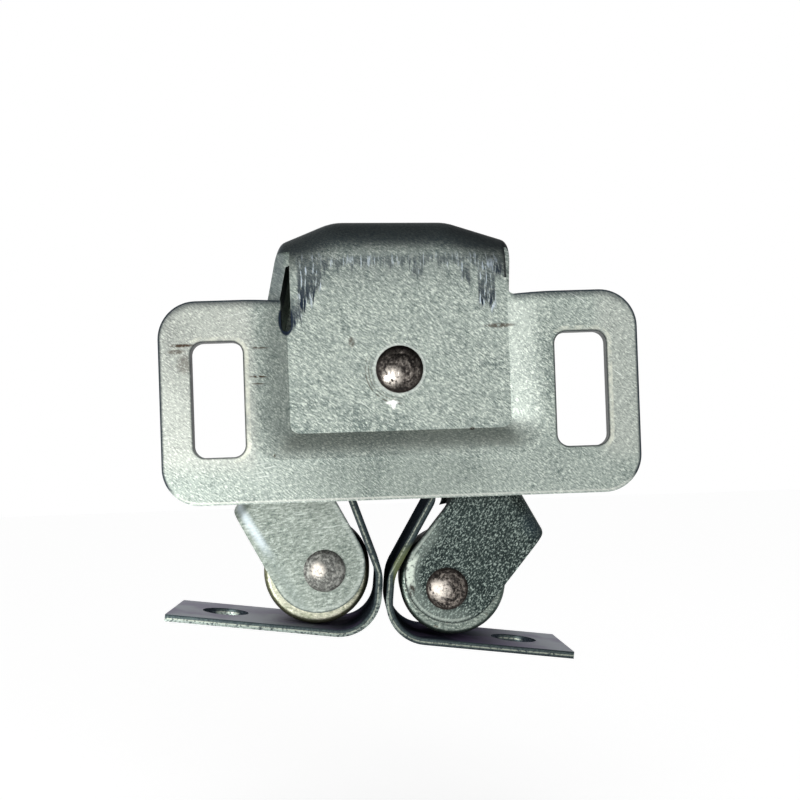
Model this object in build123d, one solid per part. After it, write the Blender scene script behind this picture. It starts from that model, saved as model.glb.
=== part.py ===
from build123d import *
import math
import os

# Cabinet double roller catch with its strike, in millimetres.
# X runs along the plate and Z up it. Y runs away from the surface that the plate is screwed to, so
# the wings' front face is y = 0. The origin is the middle of the two screw slots on that face.

os.makedirs("parts", exist_ok=True)

# Mounting plate: wings
SHEET = 1.2
PLATE_WIDTH = 48.0
PLATE_TOP = 9.9
PLATE_BOTTOM = -10.5
PLATE_CORNER = 3.8
SLOT_INSET = 5.8
SLOT_WIDTH = 5.2
SLOT_HEIGHT = 11.5
SLOT_CORNER = 1.2
SLOT_SPACING = PLATE_WIDTH - 2 * SLOT_INSET

# Mounting plate: pad pressed back between the wings
RECESS = 1.3
PAD_HALF = 11.2
PAD_BOTTOM = -3.6
PAD_CORNER = 1.0
LEFT_SLOPE = 4.2
RIGHT_SLOPE = 4.2
LOWER_SLOPE = 2.6
SLOPE_STEPS = ((0.0, 1.0), (0.3, 0.55), (0.7, 0.22), (1.0, 0.0))

# Mounting plate: neck and hood
NECK_LEFT = 10.8
NECK_RIGHT = 11.2
SLIT_WIDTH = 1.0
SLIT_DEPTH = 2.65
CREST_Z = 18.6
CREST_LEFT = 6.5
CREST_RIGHT = 5.4
CREST_FALL = 0.3
CREST_CORNER = 6.0
SHOULDER_HALF = 11.9
SHOULDER_DROP = 2.5
SHOULDER_FALL = 0.4
SHOULDER_CORNER = 1.1
FRONT_BEND = 4.5
REAR_BEND = 2.2
LEFT_LEAN_ANGLE = 12.0
RIGHT_LEAN_ANGLE = -3.0
WALL_BOTTOM = 5.5
WALL_SETBACK = 0.4
WALL_TOP = 15.0
TONGUE_RADIUS = 6.0
NECK_FILLET = 0.8

# Arms
ARM_SHEET = 1.0
ARM_INSIDE = 8.0
ARM_OUTER_BEND = 1.8
EAR_RADIUS = 4.75
PIN_REACH = 22.4
GROUP_ANGLE = 6.0
ELBOW_RISE = 3.0
ELBOW_OUT = 11.15
LIMB_RADIUS = 4.85
LIMB_CENTRE_BACK = 0.7
LIMB_CENTRE_OUT = 0.8
LIMB_ANGLE = 50.0
INNER_EDGE_LENGTH = 6.3
REAR_RELIEF = 1.0
ELBOW_CORNER = 0.8
KNEE_OUT = 8.6
KNEE_DROP = 4.3
KNEE_RADIUS = 5.0
TAIL_OUT = 8.3
TAIL_WIDTH = 5.7
TAIL_RISE = 9.5
TAIL_CORNER = 1.5

# Pivot, pins and rollers
PIVOT_Z = 2.6
PIVOT_RADIUS = 1.5
PIVOT_HEAD_RADIUS = 2.4
PIVOT_HEAD_HEIGHT = 1.15
PIN_RADIUS = 1.5
PIN_HEAD_RADIUS = 2.15
PIN_HEAD_HEIGHT = 0.95
PIN_HEAD_SHIFT = 0.45
RIM_SHARE = 0.25
ROLLER_RADIUS = 5.5
ROLLER_EDGE = 0.65
ROLLER_PLAY = 0.8

# Clearances
RUNNING = 0.05
RIVET_FIT = 0.01
LAYER_GAP = 0.05
PAD_GAP = 0.1
REAR_GAP = 0.25
ROLLER_SIDE_GAP = 0.2
BORE_GAP = 0.1
SEAT_GAP = 0.1

# Spring between the tails
WIRE = 0.8
COIL_RADIUS = 2.4
COIL_TURNS = 7
COIL_RISE = 6.6
SPIGOT_RADIUS = 1.7
SPIGOT_LENGTH = 1.0

# Strike
STRIP = 0.72
STRIKE_WIDTH = 12.0
STRIKE_FRONT = 3.0
WAIST_WIDTH = 1.9
WAIST_GAP = 0.64
WAIST_RADIUS = 4.3
WAIST_TOP = -0.75
HEAD_ANGLE = 24.8
HEAD_HALF = 4.9
TIP_ANGLE = 48.0
SHOULDER_RADIUS = 1.5
TIP_RADIUS = 1.0
FOOT_BEND = 3.65
FOOT_ANGLE = 1.6
STRIKE_TURN_ANGLE = 1.0
LEFT_FOOT = 22.1
RIGHT_FOOT = 20.0
FOOT_HOLE_RADIUS = 2.45
FOOT_HOLE_INSET = 5.45

# Depths, worked out from the sheets and clearances above
PAD_BACK = RECESS + SHEET
ARM_DEPTH = ARM_INSIDE + 2 * ARM_SHEET
RIGHT_ARM_FRONT = PAD_BACK + PAD_GAP
LEFT_ARM_FRONT = RIGHT_ARM_FRONT + ARM_SHEET + LAYER_GAP
HOOD_BACK = LEFT_ARM_FRONT + ARM_DEPTH + REAR_GAP + SHEET
ROLLER_WIDTH = ARM_INSIDE - 2 * ROLLER_SIDE_GAP
COIL_Y = (LEFT_ARM_FRONT + RIGHT_ARM_FRONT + ARM_DEPTH) / 2

# The rollers close on the strike's waist, and that sets how far the arms stand apart
ROLLER_OUT = WAIST_WIDTH / 2 + WAIST_GAP + ROLLER_RADIUS
ROLLER_SWING = math.hypot(PIN_REACH, ROLLER_PLAY)
SPREAD_ANGLE = math.degrees(math.asin(ROLLER_OUT / ROLLER_SWING) - math.atan2(ROLLER_PLAY, PIN_REACH))

# Far enough for a cut to pass right through, and near enough for two points to be one
PAST = 30.0
TOUCH = 0.01


def sine(angle):
    return math.sin(math.radians(angle))


def cosine(angle):
    return math.cos(math.radians(angle))


def tangent(angle):
    return math.tan(math.radians(angle))


def extrude_back(face, start, depth):
    """Carries a face drawn in x, z from y = start over the depth."""
    return Pos(0, start, 0) * extrude(Plane.XZ * face, amount=depth, dir=(0, 1, 0))


def plate_rectangle(left, right, bottom, top, corner):
    """Rounded rectangle between four limits."""
    face = RectangleRounded(right - left, top - bottom, corner)
    return Pos((left + right) / 2, (bottom + top) / 2) * face


def touch_point(point, centre, radius, side):
    """Point where a line from a point touches a circle, on side 1 or -1."""
    dx = point[0] - centre[0]
    dy = point[1] - centre[1]
    turn = side * math.acos(radius / math.hypot(dx, dy))
    angle = math.atan2(dy, dx) + turn
    return (centre[0] + radius * math.cos(angle), centre[1] + radius * math.sin(angle))


# Mounting plate

def wings():
    """Flat sheet with rounded corners and the two tall slots."""
    half = PLATE_WIDTH / 2
    face = plate_rectangle(-half, half, PLATE_BOTTOM, PLATE_TOP, PLATE_CORNER)
    slot = RectangleRounded(SLOT_WIDTH, SLOT_HEIGHT, SLOT_CORNER)
    for side in (-1, 1):
        face -= Pos(side * SLOT_SPACING / 2, 0) * slot
    return extrude_back(face, 0, SHEET)


def pressed_form(front):
    """Solid between the pad's edge at y = front and its bottom one recess further back."""
    sections = []
    for depth_share, slope_share in SLOPE_STEPS:
        lower = LOWER_SLOPE * slope_share
        section = plate_rectangle(-PAD_HALF - LEFT_SLOPE * slope_share, PAD_HALF + RIGHT_SLOPE * slope_share,
                                  PAD_BOTTOM - lower, PLATE_TOP + PAST, PAD_CORNER + lower)
        sections.append(Pos(0, front + RECESS * depth_share, 0) * (Plane.XZ * section))
    form = loft(sections)
    keep = Pos(0, 0, PLATE_TOP + NECK_FILLET - PAST) * Box(4 * PAST, 4 * PAST, 2 * PAST)
    return form & keep


def hood_profile(inset, bottom):
    """Outline of the hood in x, z: a crest, two shoulders and two leaning walls."""
    left_z = CREST_Z - SHOULDER_DROP + SHOULDER_FALL
    right_z = CREST_Z - SHOULDER_DROP
    outline = Polygon(
        (-CREST_LEFT, CREST_Z),
        (CREST_RIGHT, CREST_Z - CREST_FALL),
        (SHOULDER_HALF, right_z),
        (SHOULDER_HALF + (right_z - bottom) * tangent(RIGHT_LEAN_ANGLE), bottom),
        (-SHOULDER_HALF - (left_z - bottom) * tangent(LEFT_LEAN_ANGLE), bottom),
        (-SHOULDER_HALF, left_z),
        align=None,
    )
    if inset > 0:
        outline = offset(outline, amount=-inset, kind=Kind.INTERSECTION)
    crest_corners = outline.vertices().sort_by(Axis.Y)[-2:]
    return fillet(crest_corners, CREST_CORNER - inset)


def hood_block(inset, bottom):
    """Solid of the hood's outer form, or of its hollow when there is an inset."""
    front = RECESS + inset
    back = HOOD_BACK - inset
    block = extrude_back(hood_profile(inset, bottom), front, back - front)
    block = fillet(top_edges(block, inset, front), FRONT_BEND - inset)
    return fillet(top_edges(block, inset, back), REAR_BEND - inset)


def top_edges(block, inset, y):
    """Edges of the crest and its two slopes at a depth y."""
    level = CREST_Z - SHOULDER_DROP - inset - 2 * SHEET
    edges = block.edges().filter_by(lambda edge: edge.bounding_box().min.Z > level)
    return edges.filter_by_position(Axis.Y, y - TOUCH, y + TOUCH)


def round_shoulders(block):
    """Rounds the two long corners between the slopes and the side walls."""
    middle = (FRONT_BEND + HOOD_BACK) / 2
    for side in (-1, 1):
        rise = SHOULDER_FALL if side < 0 else 0
        corner = (side * SHOULDER_HALF, middle, CREST_Z - SHOULDER_DROP + rise)
        block = fillet(block.edges().sort_by_distance(corner)[0], SHOULDER_CORNER)
    return block


def hood():
    """Sheet folded back over the top and down behind, with a wall on each side."""
    shell = round_shoulders(hood_block(0, WALL_BOTTOM)) - hood_block(SHEET, WALL_BOTTOM - PAST)
    # The walls start behind the neck, which is narrower and stands free of them.
    for side, neck_half in ((-1, NECK_LEFT), (1, NECK_RIGHT)):
        x = side * (neck_half + PAST / 2)
        height = WALL_TOP + PAST
        notch = Box(PAST, 2 * (PAD_BACK + WALL_SETBACK), height)
        shell -= Pos(x, 0, WALL_TOP - height / 2) * notch
    neck_top = CREST_Z - SHOULDER_DROP - FRONT_BEND
    neck = Rectangle(NECK_LEFT + NECK_RIGHT, neck_top - WALL_BOTTOM)
    neck = Pos((NECK_RIGHT - NECK_LEFT) / 2, (neck_top + WALL_BOTTOM) / 2) * neck
    return shell + extrude_back(neck, RECESS, SHEET)


def beside_neck():
    """Area beside the neck and above the wings, less the fillet in its corner on the right."""
    left = Pos(-NECK_LEFT - PAST / 2, PLATE_TOP + PAST / 2) * Rectangle(PAST, PAST)
    right = Pos(NECK_RIGHT + PAST / 2, PLATE_TOP + PAST / 2) * Rectangle(PAST, PAST)
    corner = Pos(NECK_RIGHT + NECK_FILLET / 2, PLATE_TOP + NECK_FILLET / 2)
    corner = corner * Rectangle(NECK_FILLET, NECK_FILLET)
    corner -= Pos(NECK_RIGHT + NECK_FILLET, PLATE_TOP + NECK_FILLET) * Circle(NECK_FILLET)
    return left + right - corner


def tongue():
    """Lower end of the rear wall, rounded about the pivot."""
    rise = WALL_BOTTOM + SHEET - PIVOT_Z
    face = Pos(0, PIVOT_Z) * Circle(TONGUE_RADIUS)
    face += Pos(0, PIVOT_Z + rise / 2) * Rectangle(2 * TONGUE_RADIUS, rise)
    return extrude_back(face, HOOD_BACK - SHEET, SHEET)


def mounting_plate():
    """Wings, pad, neck, hood and tongue, as one folded sheet."""
    plate = wings() + pressed_form(SHEET) - pressed_form(0)
    plate -= extrude_back(beside_neck(), -SHEET, PAD_BACK + 2 * SHEET)
    plate = plate + hood() + tongue()
    slit_x = -NECK_LEFT - SLIT_WIDTH / 2
    slit_bottom = PLATE_TOP - SLIT_DEPTH
    slit = Pos(slit_x, (slit_bottom + WALL_TOP) / 2) * Rectangle(SLIT_WIDTH, WALL_TOP - slit_bottom)
    slit += Pos(slit_x, slit_bottom) * Circle(SLIT_WIDTH / 2)
    plate -= extrude_back(slit, 0, PAD_BACK + WALL_SETBACK / 2)
    bore = Pos(0, PIVOT_Z) * Circle(PIVOT_RADIUS + RIVET_FIT)
    return plate - extrude_back(bore, 0, HOOD_BACK + SHEET)


# Arms. An arm is drawn hanging straight down from its pivot at the origin, with its outer side
# towards -X. Reach is measured down from the pivot and out is measured towards the outer side.

def arm_point(reach, out):
    return (-out, -reach)


def group_point(out, rise):
    """A place measured about the axis between the two arms, as seen from the hanging arm."""
    out_now = out * cosine(SPREAD_ANGLE) + rise * sine(SPREAD_ANGLE)
    reach_now = out * sine(SPREAD_ANGLE) - rise * cosine(SPREAD_ANGLE)
    return arm_point(reach_now, out_now)


LIMB_CENTRE = arm_point(PIN_REACH - LIMB_CENTRE_BACK, LIMB_CENTRE_OUT)
ELBOW = arm_point(PIN_REACH - ELBOW_RISE, ELBOW_OUT)
KNEE = group_point(KNEE_OUT, -KNEE_DROP)
TAIL_OUTER = group_point(TAIL_OUT, TAIL_RISE)
TAIL_INNER = group_point(TAIL_OUT - TAIL_WIDTH, TAIL_RISE)
ROLLER_CENTRE = arm_point(PIN_REACH, ROLLER_PLAY)


def inner_edge(setback):
    """Low and high end of the cheek's inner edge, or of a line further out by the setback."""
    low = arm_point(PIN_REACH - LIMB_CENTRE_BACK - (LIMB_RADIUS - setback) * sine(LIMB_ANGLE),
                    LIMB_CENTRE_OUT - (LIMB_RADIUS - setback) * cosine(LIMB_ANGLE))
    high = (low[0] - INNER_EDGE_LENGTH * sine(LIMB_ANGLE), low[1] + INNER_EDGE_LENGTH * cosine(LIMB_ANGLE))
    return low, high


def cheek_outline():
    """Side of an arm: tail, ear round the pivot, and the limb that holds the roller."""
    inner_touch, inner_corner = inner_edge(0)
    outer_touch = touch_point(ELBOW, LIMB_CENTRE, LIMB_RADIUS, 1)
    ear_low = touch_point(inner_corner, (0, 0), EAR_RADIUS, 1)
    ear_high = touch_point(TAIL_INNER, (0, 0), EAR_RADIUS, -1)
    face = Polygon(TAIL_OUTER, TAIL_INNER, ear_high, ear_low, inner_corner,
                   inner_touch, outer_touch, ELBOW, KNEE, align=None)
    face += Circle(EAR_RADIUS)
    face += Pos(*LIMB_CENTRE) * Circle(LIMB_RADIUS)
    face = fillet(nearest_vertex(face, TAIL_INNER), TAIL_CORNER)
    face = fillet(nearest_vertex(face, inner_corner), TAIL_CORNER)
    return fillet(nearest_vertex(face, KNEE), KNEE_RADIUS)


def nearest_vertex(face, point):
    """Corner of a face that lies at a point."""
    return face.vertices().sort_by_distance((point[0], point[1], 0))[0]


def beyond(start, end):
    """Point past the end of a line, in the same direction."""
    length = math.dist(start, end)
    return (end[0] + (end[0] - start[0]) * PAST / length,
            end[1] + (end[1] - start[1]) * PAST / length)


def elbow_corner():
    """Sharp tip of the elbow outside the circle that rounds it."""
    outer_touch = touch_point(ELBOW, LIMB_CENTRE, LIMB_RADIUS, 1)
    to_knee = Vector(KNEE[0] - ELBOW[0], KNEE[1] - ELBOW[1]).normalized()
    to_limb = Vector(outer_touch[0] - ELBOW[0], outer_touch[1] - ELBOW[1]).normalized()
    half_angle = to_knee.get_angle(to_limb) / 2
    middle = (to_knee + to_limb).normalized()
    run = ELBOW_CORNER / tangent(half_angle)
    tip = Vector(*ELBOW)
    centre = tip + middle * (ELBOW_CORNER / sine(half_angle))
    outside = tip - middle * ELBOW_CORNER
    points = [tip + to_knee * run, centre, tip + to_limb * run, outside]
    area = Polygon(*[(point.X, point.Y) for point in points], align=None)
    return area - Pos(centre.X, centre.Y) * Circle(ELBOW_CORNER)


def rear_relief():
    """Strip along the inner edge, and a flat on the limb's end, that the rear cheek lacks."""
    low, high = inner_edge(REAR_RELIEF)
    end = (2 * low[0] - high[0], 2 * low[1] - high[1])
    return Polygon(end, high, (high[0] + PAST, high[1]), (end[0] + PAST, end[1]), align=None)


def hollow_outline():
    """Area on the inner side of the web, open everywhere else."""
    tail_end = beyond(KNEE, TAIL_OUTER)
    elbow_end = beyond(KNEE, ELBOW)
    inner_side = Polygon(tail_end, (2 * PAST, tail_end[1]), (2 * PAST, elbow_end[1]),
                         elbow_end, KNEE, align=None)
    area = offset(inner_side, amount=-ARM_SHEET, kind=Kind.INTERSECTION)
    inner_knee = nearest_vertex(area, KNEE)
    return fillet(inner_knee, KNEE_RADIUS + ARM_SHEET)


def round_along_web(block, line, front, back, radius):
    """Rounds the two long edges between the web and the cheeks."""
    picked = []
    for y in (front, back):
        path = Pos(0, y, 0) * (Plane.XZ * line)
        picked += block.edges().filter_by(lambda edge: path.distance_to(edge @ 0.5) < TOUCH)
    return fillet(picked, radius)


def arm(front):
    """One arm, with its front cheek at y = front."""
    back = front + ARM_DEPTH
    web_line = FilletPolyline(TAIL_OUTER, KNEE, ELBOW, radius=KNEE_RADIUS)
    block = extrude_back(cheek_outline(), front, ARM_DEPTH)
    block = round_along_web(block, web_line, front, back, ARM_OUTER_BEND)
    hollow_front = front + ARM_SHEET
    hollow_back = back - ARM_SHEET
    area = hollow_outline()
    hollow = extrude_back(area, hollow_front, ARM_INSIDE)
    near_web = [edge for edge in area.edges() if edge.distance_to((KNEE[0], KNEE[1], 0)) < PAST / 2]
    inner_line = Wire(near_web)
    hollow = round_along_web(hollow, inner_line, hollow_front, hollow_back, ARM_OUTER_BEND - ARM_SHEET)
    body = block - hollow + spigot()
    body -= extrude_back(elbow_corner(), front - SHEET, ARM_DEPTH + 2 * SHEET)
    body -= extrude_back(rear_relief(), front + ARM_DEPTH / 2, ARM_DEPTH)
    bores = Circle(PIVOT_RADIUS + RUNNING)
    bores += Pos(*arm_point(PIN_REACH, 0)) * Circle(PIN_RADIUS + RIVET_FIT)
    return body - extrude_back(bores, front - SHEET, ARM_DEPTH + 2 * SHEET)


def web_face_out():
    """Distance from the middle to the web's inner face, at the spring's height."""
    along = (COIL_RISE + KNEE_DROP) / (TAIL_RISE + KNEE_DROP)
    slope = math.atan2(KNEE_OUT - TAIL_OUT, TAIL_RISE + KNEE_DROP)
    outer_face = KNEE_OUT + (TAIL_OUT - KNEE_OUT) * along
    return outer_face - ARM_SHEET / math.cos(slope)


def spigot():
    """Peg pressed out of the web, which holds the end of the spring."""
    root = group_point(web_face_out() + ARM_SHEET / 2, COIL_RISE)
    inward = (cosine(SPREAD_ANGLE), 0, sine(SPREAD_ANGLE))
    seat = Plane(origin=(root[0], COIL_Y, root[1]), z_dir=inward)
    return seat * extrude(Circle(SPIGOT_RADIUS), SPIGOT_LENGTH + ARM_SHEET / 2)


def hang(piece, side):
    """Places a piece of the hanging left arm on the left (-1) or, mirrored, on the right (1)."""
    if side > 0:
        piece = mirror(piece, about=Plane.YZ)
    turn = GROUP_ANGLE - side * SPREAD_ANGLE
    return Pos(0, 0, PIVOT_Z) * Rot(0, turn, 0) * piece


# Turned pieces, drawn with their axis along Y

def head(radius, height, seat, way):
    """Peened dome on a low rim, from its seat at y = seat, growing along way 1 or -1."""
    rim = height * RIM_SHARE
    dome = height - rim
    ball = (radius ** 2 + dome ** 2) / (2 * dome)
    half_way = radius / 2
    half_way_height = rim + dome - ball + math.sqrt(ball ** 2 - half_way ** 2)
    half = Polyline((0, seat + way * height), (0, seat), (radius, seat), (radius, seat + way * rim))
    half += ThreePointArc((radius, seat + way * rim), (half_way, seat + way * half_way_height),
                          (0, seat + way * height))
    return revolve(make_face(half), Axis.Y)


def rivet(shank_radius, head_radius, head_height, front, back, shift=0):
    """Shank with a head at each end; shift is how far the front head sits below the shank's middle."""
    shank = Pos(0, (front + back) / 2, 0) * (Rot(90, 0, 0) * Cylinder(shank_radius, back - front))
    front_head = Pos(0, 0, -shift) * head(head_radius, head_height, front, -1)
    return shank + front_head + head(head_radius, head_height, back, 1)


def roller(front):
    """Loose roller with rounded rims, starting at y = front."""
    bore = PIN_RADIUS + ROLLER_PLAY + BORE_GAP
    face = Pos((bore + ROLLER_RADIUS) / 2, front + ROLLER_WIDTH / 2)
    face = face * Rectangle(ROLLER_RADIUS - bore, ROLLER_WIDTH)
    rims = face.vertices().group_by(Axis.X)[-1]
    return revolve(fillet(rims, ROLLER_EDGE), Axis.Y)


def place(piece, point):
    """Moves a turned piece onto a point of the hanging arm."""
    return Pos(point[0], 0, point[1]) * piece


# Spring

def spring():
    """Compression spring between the tails of the arms."""
    length = 2 * (web_face_out() - SEAT_GAP) - WIRE
    coil = Helix(pitch=length / COIL_TURNS, height=length, radius=COIL_RADIUS)
    start = Plane(origin=coil @ 0, z_dir=coil % 0)
    wound = sweep(start * Circle(WIRE / 2), path=coil, is_frenet=True)
    lying = Rot(0, 90, 0) * (Pos(0, 0, -length / 2) * wound)
    return Pos(0, COIL_Y, PIVOT_Z) * Rot(0, GROUP_ANGLE, 0) * Pos(0, 0, COIL_RISE) * lying


# Strike, drawn about the point midway between the rollers with its head up

WAIST_REACH = PIN_REACH * cosine(SPREAD_ANGLE) - ROLLER_PLAY * sine(SPREAD_ANGLE)
FOOT_LEVEL = -(ROLLER_RADIUS + SEAT_GAP) / cosine(FOOT_ANGLE) - ROLLER_OUT * tangent(FOOT_ANGLE) - STRIP / 2


def foot_height(x):
    """Height of the middle of the feet's sheet at a place along them."""
    return FOOT_LEVEL - x * tangent(FOOT_ANGLE)


def strike_path():
    """Middle line of the strip, from the left foot over the head to the right foot."""
    leg = (WAIST_WIDTH - STRIP) / 2
    flare_radius = WAIST_RADIUS + STRIP / 2
    flare = WAIST_TOP + flare_radius * tangent(HEAD_ANGLE / 2)
    shoulder = HEAD_HALF - STRIP / 2
    shoulder_height = flare + (shoulder - leg) / tangent(HEAD_ANGLE)
    tip_height = shoulder_height + shoulder / tangent(TIP_ANGLE)
    bend = FOOT_BEND + STRIP / 2
    corners = [
        (-LEFT_FOOT, foot_height(-LEFT_FOOT)),
        (-leg, foot_height(-leg)),
        (-leg, flare),
        (-shoulder, shoulder_height),
        (0, tip_height),
        (shoulder, shoulder_height),
        (leg, flare),
        (leg, foot_height(leg)),
        (RIGHT_FOOT, foot_height(RIGHT_FOOT)),
    ]
    radii = [bend, flare_radius, SHOULDER_RADIUS, TIP_RADIUS, SHOULDER_RADIUS, flare_radius, bend]
    return FilletPolyline(*corners, radius=radii)


def strike():
    """One strip, bent into two feet, a waist and a head."""
    middle = STRIKE_FRONT + STRIKE_WIDTH / 2
    path = Pos(0, middle, 0) * (Plane.XZ * strike_path())
    start = Plane(origin=path @ 0, x_dir=(0, 1, 0), z_dir=path % 0)
    strip = sweep(start * Rectangle(STRIKE_WIDTH, STRIP), path=path)
    for x in (FOOT_HOLE_INSET - LEFT_FOOT, RIGHT_FOOT - FOOT_HOLE_INSET):
        seat = Plane(origin=(x, middle, foot_height(x)), z_dir=(sine(FOOT_ANGLE), 0, cosine(FOOT_ANGLE)))
        strip -= seat * Cylinder(FOOT_HOLE_RADIUS, 4 * STRIP)
    turned = Pos(0, middle, 0) * Rot(0, 0, STRIKE_TURN_ANGLE) * Pos(0, -middle, 0) * strip
    return Pos(0, 0, PIVOT_Z) * Rot(0, GROUP_ANGLE, 0) * Pos(0, 0, -WAIST_REACH) * turned


def build():
    """All pieces, by name."""
    pieces = {
        "mounting_plate": mounting_plate(),
        "pivot_rivet": Pos(0, 0, PIVOT_Z) * rivet(PIVOT_RADIUS, PIVOT_HEAD_RADIUS, PIVOT_HEAD_HEIGHT,
                                                  RECESS, HOOD_BACK),
        "spring": spring(),
        "strike": strike(),
    }
    for name, side, front in (("left", -1, LEFT_ARM_FRONT), ("right", 1, RIGHT_ARM_FRONT)):
        pin = rivet(PIN_RADIUS, PIN_HEAD_RADIUS, PIN_HEAD_HEIGHT, front, front + ARM_DEPTH,
                    side * PIN_HEAD_SHIFT)
        wheel = roller(front + ARM_SHEET + ROLLER_SIDE_GAP)
        pieces[name + "_arm"] = hang(arm(front), side)
        pieces[name + "_roller_pin"] = hang(place(pin, arm_point(PIN_REACH, 0)), side)
        pieces[name + "_roller"] = hang(place(wheel, ROLLER_CENTRE), side)
    return pieces


for name, piece in build().items():
    piece.label = name
    export_step(piece, "parts/" + name + ".step")
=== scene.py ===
"""Looks of the cabinet roller catch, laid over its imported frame.

The frame is the part's own: X along the plate, Z up it, Y away from the surface that the plate is
screwed to. Lengths on the object are in millimetres. Those of the studio, and the depth of a
finish's relief, are in metres.
"""

from __future__ import annotations

import logging
import math
from dataclasses import dataclass
from enum import Enum
from typing import Any, Sequence, Union

import bpy
import numpy as np
from bpy.types import ID, Material, Mesh, Node, NodeSocket, Object, World
from mathutils import Matrix, Vector

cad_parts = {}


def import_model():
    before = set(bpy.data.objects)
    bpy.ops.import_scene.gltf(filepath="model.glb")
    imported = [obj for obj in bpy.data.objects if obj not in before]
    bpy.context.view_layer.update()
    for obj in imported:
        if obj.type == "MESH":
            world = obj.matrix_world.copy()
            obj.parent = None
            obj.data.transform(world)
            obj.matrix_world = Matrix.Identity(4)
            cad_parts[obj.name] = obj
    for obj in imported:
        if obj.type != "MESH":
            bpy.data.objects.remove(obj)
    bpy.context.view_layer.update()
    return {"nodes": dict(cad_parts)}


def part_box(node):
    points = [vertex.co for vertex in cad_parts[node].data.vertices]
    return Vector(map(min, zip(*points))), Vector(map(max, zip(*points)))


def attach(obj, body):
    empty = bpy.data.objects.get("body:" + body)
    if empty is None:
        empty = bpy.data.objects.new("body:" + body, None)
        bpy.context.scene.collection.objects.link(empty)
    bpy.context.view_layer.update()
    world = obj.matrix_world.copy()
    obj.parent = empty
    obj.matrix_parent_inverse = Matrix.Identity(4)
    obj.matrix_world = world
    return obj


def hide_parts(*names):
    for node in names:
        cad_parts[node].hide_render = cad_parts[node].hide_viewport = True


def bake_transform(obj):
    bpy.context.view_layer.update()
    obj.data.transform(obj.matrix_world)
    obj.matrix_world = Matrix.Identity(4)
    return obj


LOG = logging.getLogger("roller_catch")
MM = 0.001
Number = Union[int, float]
Pair = tuple[float, float]
Triple = tuple[float, float, float]
Tone = tuple[float, float, float, float]
Nodes = dict[str, Object]


def shade(red: Number, green: Number, blue: Number) -> Tone:
    """Linear colour of an 8-bit display colour.

    Args:
        red: Red from 0 to 255.
        green: Green from 0 to 255.
        blue: Blue from 0 to 255.

    Returns:
        Linear red, green and blue, and an alpha of 1.
    """
    display = np.array([red, green, blue]) / 255.0
    linear = np.where(display <= 0.04045, display / 12.92, ((display + 0.055) / 1.055) ** 2.4)
    return (*(float(value) for value in linear), 1.0)


LIGHT = (1.0, 1.0, 1.0, 1.0)
WHITE = shade(255, 255, 253)
PALE = shade(224, 230, 224)
BROWN = shade(74, 62, 52)
NAVY = shade(34, 44, 58)

# Drawing marks below the hood's bend, in millimetres. Each group has its left and right limit, its
# top, its lower end at either limit, a seed and a share.
STREAKS = (
    ((-9.9, -7.7), 14.9, (7.8, 10.9), 1.3, 1.0),
    ((-10.9, -9.8), 10.6, (7.0, 7.6), 6.4, 1.0),
    ((8.4, 9.9), 13.9, (8.6, 8.2), 5.2, 1.0),
    ((9.6, 10.7), 14.0, (12.2, 11.7), 2.2, 1.0),
    ((6.7, 7.4), 13.7, (11.4, 11.2), 8.1, 0.8),
    ((1.8, 2.6), 13.7, (11.8, 12.0), 3.7, 0.8),
    ((-7.6, 10.4), 14.6, (13.0, 13.2), 9.1, 0.7),
)

# Brown smudges on the plate: middle and reach along x and z in millimetres, and share.
SMUDGES = (
    ((-4.75, 5.5), (0.4, 0.7), 0.7),
    ((10.3, 6.75), (1.9, 0.3), 0.8),
    ((-21.6, 5.5), (1.5, 0.22), 1.0),
    ((-22.2, 4.9), (1.1, 0.3), 0.7),
    ((-21.4, 3.6), (1.0, 1.2), 0.5),
    ((7.17, -3.63), (0.3, 0.2), 1.0),
    ((-14.0, 5.1), (1.1, 0.13), 0.8),
    ((-14.2, 2.2), (1.1, 0.14), 1.0),
    ((-14.2, 1.5), (0.8, 0.1), 0.8),
    ((-12.75, -5.75), (0.16, 0.2), 1.0),
)

# Strokes on the wings: slope in degrees, levels of the noise, middle, reach and share.
SCUFFS = (
    (-14.0, (0.58, 0.68), (-15.4, 8.1), (3.4, 1.1), 1.0),
    (-8.0, (0.56, 0.66), (-13.8, -7.6), (2.2, 1.6), 0.8),
)

# Painted highlight: a glint on the pressed ring below the rivet, in the smudges' form.
RING_GLINT = (
    ((-0.85, -0.75), (0.75, 0.26), 1.0),
    ((-0.72, -0.95), (0.28, 0.6), 1.0),
)


def add_object(name: str, data: ID) -> Object:
    """Makes an object and adds it to the scene."""
    made = bpy.data.objects.new(name, data)
    bpy.context.scene.collection.objects.link(made)
    return made


def wear(piece: Object, material: Material) -> Object:
    """Puts one material on every slot of a piece."""
    if not piece.data.materials:
        piece.data.materials.append(material)
    for place in piece.material_slots:
        place.material = material
    return piece


def tube(name: str, rings: np.ndarray, start: np.ndarray, end: np.ndarray) -> Mesh:
    """Smooth closed surface through rings of points.

    Args:
        name: Name of the mesh.
        rings: Points in millimetres, by ring and by step round it.
        start: Middle of the lid on the first ring.
        end: Middle of the lid on the last ring.

    Returns:
        The mesh, in metres.
    """
    rows, around = rings.shape[:2]
    points = np.concatenate([rings.reshape(-1, 3), start[None], end[None]]) * MM
    ring, step = np.meshgrid(np.arange(rows - 1), np.arange(around), indexing="ij")
    here, after = ring * around + step, ring * around + (step + 1) % around
    quads = np.stack([here, after, after + around, here + around], -1).reshape(-1, 4)
    one = np.arange(around)
    two = (one + 1) % around
    last = (rows - 1) * around
    lid = np.stack([np.full(around, rows * around), two, one], -1)
    base = np.stack([np.full(around, rows * around + 1), last + one, last + two], -1)
    made = bpy.data.meshes.new(name)
    made.from_pydata(points.tolist(), [], quads.tolist() + lid.tolist() + base.tolist())
    made.polygons.foreach_set("use_smooth", np.ones(len(made.polygons), bool))
    made.update()
    return made


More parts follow.
